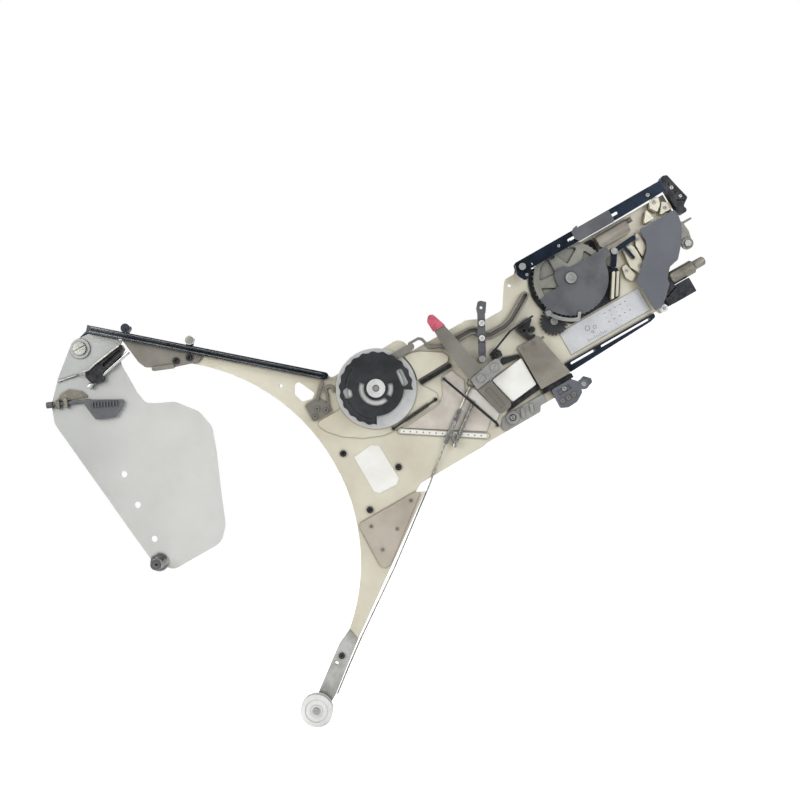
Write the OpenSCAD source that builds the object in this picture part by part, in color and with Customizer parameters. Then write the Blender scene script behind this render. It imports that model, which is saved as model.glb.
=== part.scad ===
// Mechanical tape feeder for an SMT placement machine, 8 mm tape.
// The head with its sprocket is at +X, and the component reel hangs between two arms at -X.
// Plan points are [x, z] on the main plate. placed() puts the origin in the locating pin's nose.
// Heights are counted from the main plate's face, away from the plate: see raised().

/* [Reel] */
// Radius of the component reel
reel_r = 165; // [140:1:200]
// Free space between the reel and the plate's cut-out
reel_gap = 10.4; // [6:0.2:14]
// Radius of the reel spindle
spindle_r = 5; // [4:0.1:6.2]
// Width of the reel's seat on the spindle
reel_w = 14; // [12:0.5:18]

/* [Plates] */
// Thickness of the main plate and the lower arm
plate_t = 4; // [3.2:0.1:6]
// Thickness of the reel guard
guard_t = 1.5; // [1:0.1:1.8]
// Thickness of sheet metal covers
sheet_t = 1.5; // [1:0.1:1.6]
// Thickness of the splice plate
splice_t = 2; // [1.5:0.1:3]

/* [Tape drive] */
// Number of sprocket teeth, at the 4 mm pitch of the tape's holes
sprocket_teeth = 50; // [44:1:51]
// Teeth of the gear on the sprocket's hub
drum_gear_teeth = 56; // [46:1:57]
// Teeth of the black pinion
pinion_teeth = 23; // [18:1:24]
// Gear module
gear_module = 1; // [0.9:0.05:1]
// Radius of the sprocket's axle
drum_axle_r = 4; // [3:0.1:5]

/* [Take-up reel] */
// Radius of the black take-up flange
takeup_r = 32; // [28:0.5:34]
// Radius of the bright disc behind it
takeup_disc_r = 35; // [30:0.5:37]
// Radius of the take-up axle
takeup_axle_r = 3; // [2.4:0.1:4]
// Lobes round the take-up flange
takeup_lobes = 22; // [12:1:30]

/* [Tail] */
// Radius of the tail roller
roller_r = 14; // [11:0.5:15]
// Width of the tail roller
roller_w = 9; // [7:0.5:11]
// Radius of the tail roller's pin
roller_pin_r = 2; // [1.6:0.1:2.6]

/* [Locating pin] */
// Radius of the locating pin's nose
pin_r = 4; // [3:0.1:4.8]
// Straight length of the nose
pin_len = 8; // [6:0.5:10]
// Radius of the pin's body
pin_body_r = 6; // [5:0.1:6.5]

/* [Fits] */
// Radial clearance of a part that turns or slides
run_fit = 0.08; // [0.05:0.01:0.1]
// Radial clearance of a part that stays where it is
seat_fit = 0.05; // [0.02:0.01:0.08]
// Air between parts that pass each other
air = 0.3; // [0.2:0.05:0.4]

/* [Hidden] */
$fn = 48;
plate_face = 4;                                  // y of the main plate's face
pin_at = [539, -6];                              // middle of the locating pin's nose, on the plan
back_x = 179.4;                                  // foremost point of the reel cut-out
reel_clear_r = reel_r + reel_gap;
spindle_at = [back_x - reel_clear_r, 0];
drawn_reel_r = 165;                              // reel radius at which the reel side was laid out
function by_reel(p) = spindle_at + p * (reel_r / drawn_reel_r);

// Axes on the body
takeup_at = [243, 38];
drum_at = [436, 37.5];
lever_at = [325.5, 1];
bracket_post_at = [340, 3.2];
strip_at = [335, 14.5];
tape_arm_at = [404, 66.5];
feed_at = [480, 39];
check_at = [404, 20.5];
hook_at = [400.5, -47.5];
foot_roller_at = [493.5, -25.2];
cover_post_at = [473, 42];
latch_at = [539.5, 13.5];

// Axes on the reel side
guard_pivot_at = by_reel([32, 196]);
roller_at = by_reel([57, -178]);
rail_tip = by_reel([47.5, 206.5]);
rail_foot = [209.5, 69.5];
rail_len = norm(rail_foot - rail_tip);
tail_screw_at = by_reel([98, -149]);
tail_dowel_at = by_reel([91, -152.5]);

// Heights of the layers over the main plate's face
guard_face = -2.3;                               // front of the reel guard, behind the reel
lug_face = guard_face - guard_t - air;           // front of the lug behind the guard
lug_t = 2;
rail_h = 8;
rail_w = 6.6;
guide_h = 7;                                     // tape guides stand this high
grip_wall = 0.8;
lever_low = guide_h + grip_wall + air;
lever_t = 2.5;
bracket_low = lever_low + lever_t + air;
bracket_t = 1.7;
housing_t = 1.2;
gear_low = housing_t + air;
gear_t = 2.2;
drum_t = 3;
drum_top = gear_low + gear_t + drum_t;
cover_low = drum_top + 1.2;
disc_low = 1 + air + 0.2;
disc_t = 1;
flange_low = 9;
flange_t = 2;
rod_h = 4;                                       // middle of the pull rods
pin_h = plate_face;                              // the locating pin's axis lies at y = 0
pin_body_from = 511;
slider_gap = 0.3;

// Sprocket and gears
drum_pitch_r = sprocket_teeth * 4 / (2 * PI);
tooth_h = 1.2;
drum_tip_r = drum_pitch_r + tooth_h;
drum_gear_r = gear_module * drum_gear_teeth / 2;
pinion_r = gear_module * pinion_teeth / 2;
pinion_dir = 220;
pinion_at = drum_at + (drum_gear_r + pinion_r) * [cos(pinion_dir), sin(pinion_dir)];
backlash = 0.25;
guide_floor = drum_at.y + drum_tip_r + air;      // underside of the top guide's web
guide_top = guide_floor + sheet_t;

// Radii of the pivots
lever_pin_r = 3;
guard_pin_r = 4;
small_pin_r = 2;
rail_dir = (rail_foot - rail_tip) / rail_len;
pull_dir = [0.8, 0.6];
upper_arm_end = 54.8;                            // directions from the spindle
arm_joint = -23.8;
lower_arm_end = -49;

// ---- Shapes that repeat ----

module placed() translate([-pin_at.x, 0, -pin_at.y]) children();

// A flat shape of the plan, from one height to another
module raised(from, to)
    translate([0, plate_face - from, 0]) rotate([90, 0, 0]) linear_extrude(height = to - from) children();

// A round post across the plan
module post(at, r, from, to)
    translate([at.x, plate_face - from, at.y]) rotate([90, 0, 0]) cylinder(r = r, h = to - from);

module drill(at, r, from, to) post(at, r, from - 0.5, to + 0.5);

function unit(v) = v / norm(v);
function polar(r, a) = [r * cos(a), r * sin(a)];
function arc(at, r, from, to, step = 8) =
    let (n = max(2, ceil(abs(to - from) / step)))
    [for (i = [0:n]) at + polar(r, from + (to - from) * i / n)];

// The points of one rounded corner at b, between its neighbours a and c
function corner(a, b, c, r) =
    let (
        u = unit(a - b), v = unit(c - b),
        half = acos(max(-1, min(1, u * v))) / 2,
        centre = b + unit(u + v) * r / sin(half),
        p = b + u * r / tan(half), q = b + v * r / tan(half),
        from = atan2(p.y - centre.y, p.x - centre.x),
        turn = atan2(q.y - centre.y, q.x - centre.x) - from,
        sweep = turn > 180 ? turn - 360 : turn < -180 ? turn + 360 : turn
    )
    arc(centre, r, from, from + sweep, 15);

// A closed outline whose points are [x, z] or [x, z, corner radius]
function rounded(points) =
    let (n = len(points))
    [for (i = [0:n - 1])
        let (b = points[i], a = points[(i + n - 1) % n], c = points[(i + 1) % n])
        each (len(b) < 3 || b[2] == 0
            ? [[b.x, b.y]]
            : corner([a.x, a.y], [b.x, b.y], [c.x, c.y], b[2]))];
module outline(points) polygon(rounded(points));

// A bar with round ends from a to b
function bar_points(a, b, w) =
    let (t = atan2(b.y - a.y, b.x - a.x))
    concat(arc(b, w / 2, t - 90, t + 90, 20), arc(a, w / 2, t + 90, t + 270, 20));
module bar(a, b, w) polygon(bar_points(a, b, w));

// A point beside the line from a to b: along it, and to its left
function beside(a, b, along, left) =
    let (d = unit(b - a)) a + d * along + [-d.y, d.x] * left;

// A straight rod between two points in space
module rod(a, b, r) {
    d = b - a;
    translate(a) rotate([0, acos(d.z / norm(d)), atan2(d.y, d.x)]) cylinder(r = r, h = norm(d));
}

// A point of the plan at a height
function spot(p, h) = [p.x, plate_face - h, p.y];

// A wire swept along a path; ref is a direction that the path never takes
module wire(path, r, ref = [0, 1, 0], sides = 8) {
    n = len(path);
    rings = [for (i = [0:n - 1])
        let (
            t = unit(path[min(i + 1, n - 1)] - path[max(i - 1, 0)]),
            u = unit(cross(t, ref)), v = cross(t, u)
        )
        for (k = [0:sides - 1]) path[i] + r * (u * cos(360 * k / sides) + v * sin(360 * k / sides))];
    sides_faces = [for (i = [0:n - 2], k = [0:sides - 1])
        let (p = i * sides + k, q = i * sides + (k + 1) % sides)
        each [[p, p + sides, q + sides], [p, q + sides, q]]];
    ends = [[for (k = [0:sides - 1]) k], [for (k = [sides - 1:-1:0]) (n - 1) * sides + k]];
    polyhedron(rings, concat(sides_faces, ends));
}

// A coil spring between two points in space
module coil(a, b, coil_r, wire_r, turns, steps = 9) {
    axis = unit(b - a);
    u = unit(cross(axis, abs(axis.y) > 0.9 ? [1, 0, 0] : [0, 1, 0]));
    v = cross(axis, u);
    wire([for (i = [0:turns * steps])
            a + (b - a) * i / (turns * steps)
            + coil_r * (u * cos(360 * i / steps) + v * sin(360 * i / steps))],
        wire_r, axis, 6);
}

// A cap screw: head on its seat, hexagon socket, shank below
module screw(at, seat, head_r, head_h, shank_r, depth) {
    difference() {
        union() {
            post(at, head_r, seat, seat + head_h);
            post(at, shank_r, seat - depth, seat + 0.01);
        }
        translate([at.x, plate_face - seat - head_h * 0.35, at.y]) rotate([90, 0, 0])
            cylinder(r = head_r * 0.55, h = head_h, $fn = 6);
    }
}

// Involute tooth flank: half the tooth's angle at radius r
function inv(rb, r) = let (c = acos(min(1, rb / r))) tan(c) * 180 / PI - c;
function half_tooth(teeth, m, backlash, r) =
    let (rp = m * teeth / 2, rb = rp * cos(20))
    90 / teeth - backlash / rp * 90 / PI + inv(rb, rp) - inv(rb, r);
// Outline of an involute spur gear, with one tooth at the angle given
function gear_points(teeth, m, backlash, turn = 0) =
    let (
        rp = m * teeth / 2, rb = rp * cos(20), root = rp - 1.25 * m, tip = rp + 0.95 * m,
        low = max(root, rb + 0.02 * m), levels = [low, rp, tip]
    )
    [for (i = [0:teeth - 1])
        let (a = turn + 360 * i / teeth)
        each concat(
            [polar(root, a - half_tooth(teeth, m, backlash, low) - 0.5)],
            [for (r = levels) polar(r, a - half_tooth(teeth, m, backlash, r))],
            [for (k = [2:-1:0]) polar(levels[k], a + half_tooth(teeth, m, backlash, levels[k]))],
            [polar(root, a + half_tooth(teeth, m, backlash, low) + 0.5)])];

// Where the fasteners sit
plate_screw_spots = [[190, 3], [226, -31], [186, -51]];
bracket_screw_spots = [by_reel([100, 145]), by_reel([111.3, 141.6])];
splice_spots = [[180, -64], [221, -61.5], [198.5, -77], [178.5, -86.5]];
tail_line = [by_reel([110, -132]), by_reel([117, -144])];
joint_from = spindle_at + polar(reel_clear_r, arm_joint);
joint_to = [228, -57.5];

function on_rail(along, left) = beside(rail_tip, rail_foot, along, left);

// ---- Frame ----

function plate_points() = rounded(concat(
    arc(spindle_at, reel_clear_r, upper_arm_end, arm_joint, 4),
    [joint_to, [236, -53, 3], [300, -52, 3], [303, -51, 3], [357, -50.5, 2], [360, -46, 1], [394, -46, 2],
        [396, -24.5], [488, -24.5], [490, -28], [497, -28], [498, -26], [525, -26, 1], [525, -13, 1],
        [511, -13], [511, 2], [524, 6, 2], [536, 19, 4], [541, 32, 4], [543, 44], [543, 61], [411, 61, 2],
        [410.5, 69, 3], [402, 72, 3], [396, 65, 2], [387, 65, 3], [383, 60, 3], [372, 43, 4], [356, 43, 4],
        [347, 48, 5], [340, 51, 3], [322, 51], [285.5, 51, 2]],
    arc([276, 57], 9, 0, 90, 15),
    [[266, 65.5, 1], [214.5, 65.5, 2], on_rail(rail_len, 1), on_rail(rail_len * 0.33, 1)]));

module main_plate() color("ivory") placed() difference() {
    raised(-plate_t, 0) polygon(plate_points());
    raised(-plate_t - 1, 1) outline([[178.5, 69, 3], [183.5, 77, 3], [187.5, 76, 1.5], [194.5, 61, 2],
        [190, 58, 2], [181, 60, 3]]);
    for (p = plate_screw_spots) drill(p, 1.25 + seat_fit, -plate_t, 0);
    for (p = bracket_screw_spots) drill(p, 1.25 + seat_fit, -plate_t, 0);
    for (p = splice_spots) drill(p, 0.9 + seat_fit, -plate_t, 0);
    drill(takeup_at, takeup_axle_r + seat_fit, -plate_t, 0);
    drill(drum_at, drum_axle_r + seat_fit, -plate_t, 0);
    drill(pinion_at, small_pin_r + seat_fit, -plate_t, 0);
    for (p = [lever_at, bracket_post_at]) drill(p, lever_pin_r + seat_fit, -plate_t, 0);
    for (p = [strip_at, feed_at, cover_post_at]) drill(p, small_pin_r + seat_fit, -plate_t, 0);
    drill(tape_arm_at, small_pin_r + seat_fit, -plate_t, 0);
    drill(foot_roller_at, 1.2 + seat_fit, -plate_t, 0);
    drill([172, 81], 1.5, -plate_t, 0);
    drill([388, 58.5], 1.5, -plate_t, 0);
}

module lower_arm() color("ivory") placed() difference() {
    union() {
        raised(-plate_t, 0) polygon(concat(
            arc(spindle_at, reel_clear_r, arm_joint, lower_arm_end, 4),
            [tail_line[1], [236, -61], joint_to]));
        raised(-plate_t, -plate_t / 2 - seat_fit) polygon([spindle_at + polar(reel_clear_r, lower_arm_end),
            tail_line[1], tail_dowel_at + [-7, -6], tail_dowel_at + [-9, -1]]);
    }
    for (p = splice_spots) drill(p, 0.9 + seat_fit, -plate_t, 0);
    drill(tail_screw_at, 1.25 + seat_fit, -plate_t, 0);
    drill(tail_dowel_at, 1.5 + seat_fit, -plate_t, 0);
}

module splice_plate() color("tan") placed() difference() {
    raised(0, splice_t) outline([[173, -57, 2], [229, -57, 2], [231, -60, 1], [178, -101, 3], [172, -101, 2],
        [170, -97, 2], [171, -60, 2]]);
    for (p = splice_spots) drill(p, 0.9 + seat_fit, 0, splice_t);
}

module tail_arm() color("silver") placed() difference() {
    raised(-plate_t / 2, 1) polygon(concat(
        [spindle_at + polar(reel_clear_r, lower_arm_end), by_reel([101, -139]), by_reel([76, -158])],
        arc(roller_at, 7, 75, 290, 15),
        [by_reel([71, -179]), by_reel([77, -175.5]), by_reel([96, -160.5]), tail_line[1]]));
    drill(tail_screw_at, 1.25 + seat_fit, -plate_t, 1);
    drill(tail_dowel_at, 1.5 + seat_fit, -plate_t, 1);
    drill(roller_at, roller_pin_r + seat_fit, -plate_t, 1);
}

roller_low = 1 + air;
module tail_roller() color("lightgray") placed() difference() {
    union() {
        post(roller_at, roller_r, roller_low, roller_low + 1.2);
        post(roller_at, roller_r - 2, roller_low + 1, roller_low + roller_w - 1);
        post(roller_at, roller_r, roller_low + roller_w - 1.2, roller_low + roller_w);
    }
    drill(roller_at, roller_pin_r + run_fit, roller_low, roller_low + roller_w);
    difference() {
        post(roller_at, roller_r - 4, roller_low + roller_w - 0.6, roller_low + roller_w + 1);
        post(roller_at, roller_pin_r + 3, roller_low, roller_low + roller_w + 2);
    }
}

module plate_screws() color("dimgray") placed() {
    for (p = plate_screw_spots) screw(p, 0, 2.75, 1.6, 1.25, 3.5);
    for (p = bracket_screw_spots) screw(p, sheet_t + 0.5, 2.75, 1.6, 1.25, 4);
    screw(tail_screw_at, 1, 2.6, 1.4, 1.25, 4.5);
}

module cover_screws() color("gray") placed() {
    for (p = splice_spots) screw(p, splice_t, 1.5, 0.6, 0.9, 4);
    for (p = block_screw_spots) screw(p, block_h, 1.5, 0.7, 0.9, 1.4);
    for (p = entry_screw_spots) screw(p, entry_h, 2, 1.2, 0.9, entry_h);
    for (p = clamp_screw_spots) screw(p, clamp_h, 1.9, 0.9, 0.9, 3);
}

module rail_bar(from, to, low, high) raised(low, high)
    polygon([on_rail(from, rail_w / 2), on_rail(to, rail_w / 2), on_rail(to, -rail_w / 2), on_rail(from, -rail_w / 2)]);

module top_rail() color("slategray") placed() difference() {
    union() {
        rail_bar(0, rail_len, 0, rail_h);
        post(rail_foot, rail_w / 2, 0, rail_h);
        raised(0, rail_h - 1) bar(on_rail(stop_along, 0), on_rail(stop_along, 7), 5);
        post(on_rail(stop_along, 7), 4, 2, rail_h + 1.5);
        raised(0, rail_h / 2 - 0.5) bar(on_rail(rail_roller_along, 0), on_rail(rail_roller_along, rail_roller_out), 6);
    }
    raised(rail_h - 1.2, rail_h + 1) bar(on_rail(4, -0.3), on_rail(rail_len - 1, -0.3), 1.8);
    drill(on_rail(rail_roller_along, rail_roller_out), small_pin_r + seat_fit, 0, rail_h);
}
stop_along = 33;
rail_roller_along = 89;
rail_roller_out = rail_w / 2 + 4 + air;

module rail_roller() color("gainsboro") placed() difference() {
    post(on_rail(rail_roller_along, rail_roller_out), 4, rail_h / 2 - 0.5 + air, rail_h);
    drill(on_rail(rail_roller_along, rail_roller_out), small_pin_r + run_fit, 0, rail_h);
}

module end_bracket() color("dimgray") placed() difference() {
    union() {
        raised(0, sheet_t + 0.5) polygon(rounded([
            concat(on_rail(30, -rail_w / 2), [0]), concat(by_reel([71, 160]), [5]), concat(by_reel([74, 153]), [4]),
            concat(by_reel([80, 149.5]), [2]), concat(by_reel([94, 141.5]), [2]), concat(by_reel([116, 134.5]), [3]),
            concat(on_rail(102, -rail_w / 2), [0])]));
        raised(0, 5) bar(by_reel([80, 148]), by_reel([95, 142]), 3.4);
    }
    for (p = bracket_screw_spots) drill(p, 1.25 + seat_fit, 0, 3);
}

module hinge_lug() color("slategray") placed() difference() {
    union() {
        raised(lug_face - lug_t, lug_face) polygon(concat(
            arc(guard_pivot_at, 8, 120, 290, 15),
            [on_rail(26, -rail_w / 2), on_rail(26, rail_w / 2), on_rail(0, rail_w / 2)]));
        rail_bar(0, 26, lug_face - 0.01, 0);
    }
    drill(guard_pivot_at, guard_pin_r - 1.5 + seat_fit, lug_face - lug_t, lug_face);
}

// ---- Reel guard ----

boss_top = guard_face + 1.5;
brake_from = by_reel([-17, 167]);
brake_to = by_reel([18, 152]);
brake_h = guard_face + 3;
brake_r = 1.6;
bolt_from = by_reel([25.6, 163.1]);
bolt_to = by_reel([68.5, 172.2]);
bolt_h = guard_face + 3.2;
bolt_r = 1.6;
latch_h = 6;

module guard_plate() color("lightgray") placed() difference() {
    union() {
        raised(guard_face - guard_t, guard_face) outline(concat(
            [on_rail(0, -rail_w / 2 - 0.6), on_rail(30, -rail_w / 2 - 0.6)],
            [for (p = [[62, 180, 4], [56, 166, 10], [56, 138, 8], [58, 127, 6], [66, 122, 6], [81, 115, 12],
                    [95, 97, 14], [98, 80, 10], [91, 60, 20], [76, 25, 10], [66, 0, 8], [55, -12, 12], [8, -12, 8],
                    [-5, 2, 8], [-8, 30, 20], [-20, 150, 14], [-14, 166, 6], [3, 184, 4]])
                concat(by_reel([p.x, p.y]), [p[2]])],
            arc(guard_pivot_at, 9, 140, 78, 15)));
        post(guard_pivot_at, 8.5, guard_face - 0.01, boss_top);
    }
    drill(guard_pivot_at, guard_pin_r + run_fit, guard_face - guard_t, boss_top);
    for (p = [[11, 82], [8, 53], [6, 20]]) drill(by_reel(p), 2.7, guard_face - guard_t, guard_face);
    drill(spindle_at, spindle_r - 1.5 + seat_fit, guard_face - guard_t, guard_face);
}

module reel_spindle() color("silver") placed() difference() {
    union() {
        post(spindle_at, spindle_r - 1.5, guard_face - guard_t, guard_face);
        post(spindle_at, spindle_r + 3, guard_face, guard_face + 1);
        post(spindle_at, spindle_r, guard_face + 1, guard_face + 1 + reel_w);
    }
    drill(spindle_at, 1.6, guard_face + reel_w - 4, guard_face + reel_w + 2);
}

module brake_hinge() color("dimgray") placed() difference() {
    union() {
        raised(guard_face, guard_face + 1) outline([
            concat(by_reel([-3, 170]), [2]), concat(by_reel([6, 170]), [3]), concat(by_reel([15, 163]), [3]),
            concat(by_reel([18, 155.5]), [1]), concat(by_reel([-7, 165]), [1])]);
        for (s = [10, 17])
            raised(guard_face, brake_h + brake_r + 1)
                bar(beside(brake_from, brake_to, s, -2.6), beside(brake_from, brake_to, s, 2.6), 3);
    }
    rod(spot(brake_from, brake_h), spot(brake_to, brake_h), brake_r + run_fit);
}

module brake_pad() color("dimgray") placed() {
    a = spot(brake_from, brake_h);
    rod(a, spot(brake_to, brake_h), brake_r);
    rod(a, spot(beside(brake_from, brake_to, 5, 0), brake_h), brake_r + 1.2);
    raised(brake_h - 1, brake_h + 1) outline([
        concat(beside(brake_from, brake_to, 36.5, 1), [1]), concat(by_reel([43, 139]), [1]),
        concat(by_reel([42.5, 136]), [1]), concat(by_reel([30, 128.5]), [3]), concat(by_reel([14, 135]), [2]),
        concat(beside(brake_from, brake_to, 31.5, -1), [1])]);
    raised(brake_h + 0.9, brake_h + 2.2) for (k = [0:8])
        bar(beside(by_reel([18.5, 150.5]), by_reel([42, 139]), 1 + k * 2.6, -1),
            beside(by_reel([18.5, 150.5]), by_reel([42, 139]), 1 + k * 2.6, -4.5), 1.2);
}

module latch_block() color("darkslategray") placed() difference() {
    raised(guard_face, guard_face + latch_h) outline([
        for (p = [[25, 171, 2], [27, 163, 2], [37, 161, 2], [40, 167.5, 1], [60, 172, 1], [66, 176, 1],
            [66, 181, 1], [40, 176.5, 2], [27, 175.5, 1]]) concat(by_reel([p.x, p.y]), [p[2]])]);
    rod(spot(bolt_from, bolt_h), spot(bolt_to, bolt_h), bolt_r + run_fit);
    raised(guard_face + 3.5, guard_face + latch_h + 1) bar(by_reel([44, 172.5]), by_reel([61, 176.5]), 3.5);
}

module latch_bolt() color("silver") placed() {
    rod(spot(bolt_from, bolt_h), spot(bolt_to, bolt_h), bolt_r);
    rod(spot(beside(bolt_from, bolt_to, -3, 0), bolt_h), spot(bolt_from, bolt_h), bolt_r + 0.9);
}

module latch_spring() color("silver") placed() {
    low = guard_face + 0.8;
    high = guard_face + latch_h + 0.8;
    wire([spot(by_reel([1, 180.5]), low), spot(by_reel([12, 178.5]), low), spot(by_reel([18, 177.2]), low + 0.6),
        spot(by_reel([22.5, 176.3]), high), spot(by_reel([31, 175]), high), spot(by_reel([39, 177]), high),
        spot(by_reel([64, 180.5]), high)], 0.8);
}

// ---- Take-up reel ----

module axles() color("silver") placed() {
    post(takeup_at, takeup_axle_r, -plate_t, flange_low + flange_t);
    post(drum_at, drum_axle_r, -plate_t, cover_low);
    post(drum_at, 2, cover_low - 0.01, cover_low + sheet_t);
    difference() {
        post(drum_at, 4.7, cover_low + sheet_t, cover_low + sheet_t + 1.8);
        post(drum_at, 3, cover_low + sheet_t + 1.3, cover_low + sheet_t + 3);
    }
}

drum_core_r = 24;
hub_r = 8;
module takeup_core() color("silver") placed() difference() {
    union() {
        post(takeup_at, takeup_disc_r, disc_low, disc_low + disc_t);
        post(takeup_at, drum_core_r, disc_low, flange_low);
        post(takeup_at, hub_r, flange_low - 0.01, flange_low + flange_t + 1.2);
    }
    drill(takeup_at, takeup_axle_r + run_fit, disc_low, flange_low + flange_t + 2);
}

module ring_slot(at, inner, outer, from, to)
    polygon(concat(arc(at, inner, from, to), arc(at, outer, to, from)));

module takeup_flange() color("black") placed() difference() {
    raised(flange_low, flange_low + flange_t)
        polygon([for (a = [0:2:358]) takeup_at + polar(takeup_r - 0.6 + 0.6 * cos(takeup_lobes * a), a)]);
    drill(takeup_at, hub_r + seat_fit, flange_low, flange_low + flange_t);
    raised(flange_low - 1, flange_low + flange_t + 1) {
        ring_slot(takeup_at, takeup_r - 8, takeup_r + 2, -118, -32);
        ring_slot(takeup_at, 10.5, 15, 130, 285);
        ring_slot(takeup_at, 10.5, 15, 300, 350);
        translate([takeup_at.x + takeup_r * 0.75, takeup_at.y - 3])
            outline([[-3.5, -8, 2], [2.5, -7, 2], [3.5, 7, 2], [-2, 8, 2]]);
        translate([takeup_at.x - takeup_r * 0.72, takeup_at.y + 8])
            outline([[-4, -3, 2], [2, -5, 2], [4, 1, 2], [1, 5, 2], [-3, 4, 2]]);
    }
    raised(flange_low + flange_t - 0.7, flange_low + flange_t + 1)
        ring_slot(takeup_at, takeup_r - 6.5, takeup_r - 4.5, 110, 235);
}

module takeup_cover() color("ivory") placed() difference() {
    raised(0, 1) outline([[182, 37.5, 3], [187, 27, 6], [197, 16, 8], [212, 6, 10], [228, -0.5, 10], [242, -2, 4],
        [284, 0.8, 3], [287, 8, 4], [279, 20, 6], [274, 50, 6], [262, 62, 4], [217, 62, 3], [215.5, 45, 4],
        [206, 37.5, 3]]);
    drill(takeup_at, takeup_axle_r + 1, 0, 1);
}

module takeup_link() color("dimgray") placed() {
    from = [239, 0.2];
    to = [283, 4];
    for (p = [from, to]) post(p, 1.6, 1, 4);
    rod(spot(from, 3), spot(to, 3), 0.8);
    coil(spot(beside(from, to, 12, 0), 3), spot(beside(from, to, 36, 0), 3), 1.4, 0.5, 11);
}

// ---- Tape path ----

entry_h = 2.5;
entry_screw_spots = [[185, 43], [190, 48], [196, 43]];
module entry_guide() color("gray") placed() difference() {
    union() {
        raised(0, entry_h) outline([[181.5, 40, 1], [200, 40, 1], [200, 47, 2], [195, 56, 2], [182, 56, 2]]);
        raised(0, entry_h + 1) bar([193.5, 55], [204.5, 65.3], 2.4);
        raised(0, entry_h) ring_slot([207.3, 56.5], 2.6, 4.4, -60, 190);
        raised(0, entry_h) bar([199, 44], [203.7, 55], 1.6);
    }
    for (p = entry_screw_spots) drill(p, 0.9 + seat_fit, 0, entry_h);
}

module band(points, w) for (i = [0:len(points) - 2]) bar(points[i], points[i + 1], w);

guide_path = [[313, 41], [338, 41], [342, 39.5], [348, 31], [352, 29.2], [366, 29.2], [374, 31.6], [395, 44]];
module tape_guide() color("dimgray") placed() difference() {
    union() {
        raised(0, guide_h) band(guide_path, 6);
        raised(0, guide_h) band([[287, 57.5], [296, 57.5], [298.5, 55.5], [301, 46], [312, 41.5]], 2.2);
        raised(disc_low + disc_t + 0.8, guide_h) bar([270, 54.3], [287, 54.3], 6);
    }
    raised(guide_h - 3.5, guide_h + 1) band(guide_path, 3.4);
}

module wedge_cover() color("ivory") placed() difference() {
    raised(0, 3) outline([[276, 26.5, 1], [308.5, 27.5, 2], [311, 31, 2], [309, 36, 3], [292, 47, 3], [284, 50, 2],
        [270, 50, 1]]);
    drill(takeup_at, takeup_disc_r + 1.5, 0, 4);
    raised(-1, 4) outline([[200, 0], [278, 0], [278, 70], [200, 70]]);
}

module sub_plate() color("rosybrown") placed() {
    raised(0, 0.8) outline([[248, -4.4], [283, -1.6, 2], [291, 4.5, 4], [297, 18.5, 3], [308, 19, 2], [313, 6, 3],
        [307.5, -4], [316, -35, 2], [308, -42, 1]]);
    difference() {
        raised(0, 1.5) bar(tie_from, tie_to, 4.6);
        for (k = [0:12]) drill(beside(tie_from, tie_to, 3 + k * 5.6, 0), 0.8, 0, 1.5);
    }
}

tie_from = [243, -4.6];
tie_to = [306, -45.5];
module black_bars() color("black") placed() {
    raised(6.2, 7.3) bar([298, 16], [318.5, -40], 2);
    post([298, 16], 1.3, 0.8, 6.21);
    post([318.5, -42], 1.3, 0, 6.21);
    raised(6.2, 7.3) bar([318.5, -38], [318.5, -42], 2);
    raised(0, 4) outline([[278.8, 21, 0.5], [309.5, 21.8, 0.5], [309.5, 25.4, 0.5], [278.8, 25, 0.5]]);
    raised(0, 5) outline([[332, -36.4], [366, -32.8], [366, -28.3], [340, -31.2]]);
    raised(0, 8) outline([[366.4, -34], [396, -34], [396, -38], [366.4, -38]]);
}

// ---- Release lever and pull rods ----

lever_top = lever_low + lever_t;
module release_lever() color("gray") placed() difference() {
    union() {
        raised(lever_low, lever_top) outline([[311, 56], [311, 45, 8], [315.5, 10, 20], [319, -6, 10],
            [324.5, -35, 3], [338, -33, 3], [332, -5, 8], [330, 10, 20], [327.5, 26, 20], [324, 42, 20], [321, 56]]);
        raised(lever_low, lever_top) outline([[313, 55], [313.5, 65, 1], [316, 65, 1], [319, 55]]);
        raised(lever_low, lever_top) bar(lever_at, rod_eye_at, 5);
        post(rod_eye_at, 1, rod_h - 1.5, lever_low + 0.5);
    }
    drill(lever_at, lever_pin_r + run_fit, lever_low, lever_top);
    raised(lever_top - 0.6, lever_top + 1) outline([[323, -10, 1], [329, -9.5, 1], [333, -30, 1], [328, -31, 1]]);
}

module lever_grip() color("crimson") placed() difference() {
    raised(lever_low - grip_wall, lever_top + grip_wall)
        outline([[310, 56], [309.5, 66, 3], [313, 70.5, 3], [317, 69, 3], [321.5, 56]]);
    raised(lever_low - seat_fit, lever_top + seat_fit)
        outline([[313 - seat_fit, 55], [313.5 - seat_fit, 65 + seat_fit, 1], [316 + seat_fit, 65 + seat_fit, 1],
            [319.5 + seat_fit, 55]]);
}

module lever_bracket() color("dimgray") placed() difference() {
    raised(bracket_low, bracket_low + bracket_t)
        outline([[318, -6, 1], [317.5, 4.5, 2], [346, 9.5, 2], [347.5, -0.5, 3], [333, -4, 1]]);
    for (p = [lever_at, bracket_post_at]) drill(p, 2 + seat_fit, bracket_low, bracket_low + bracket_t);
}

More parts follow.
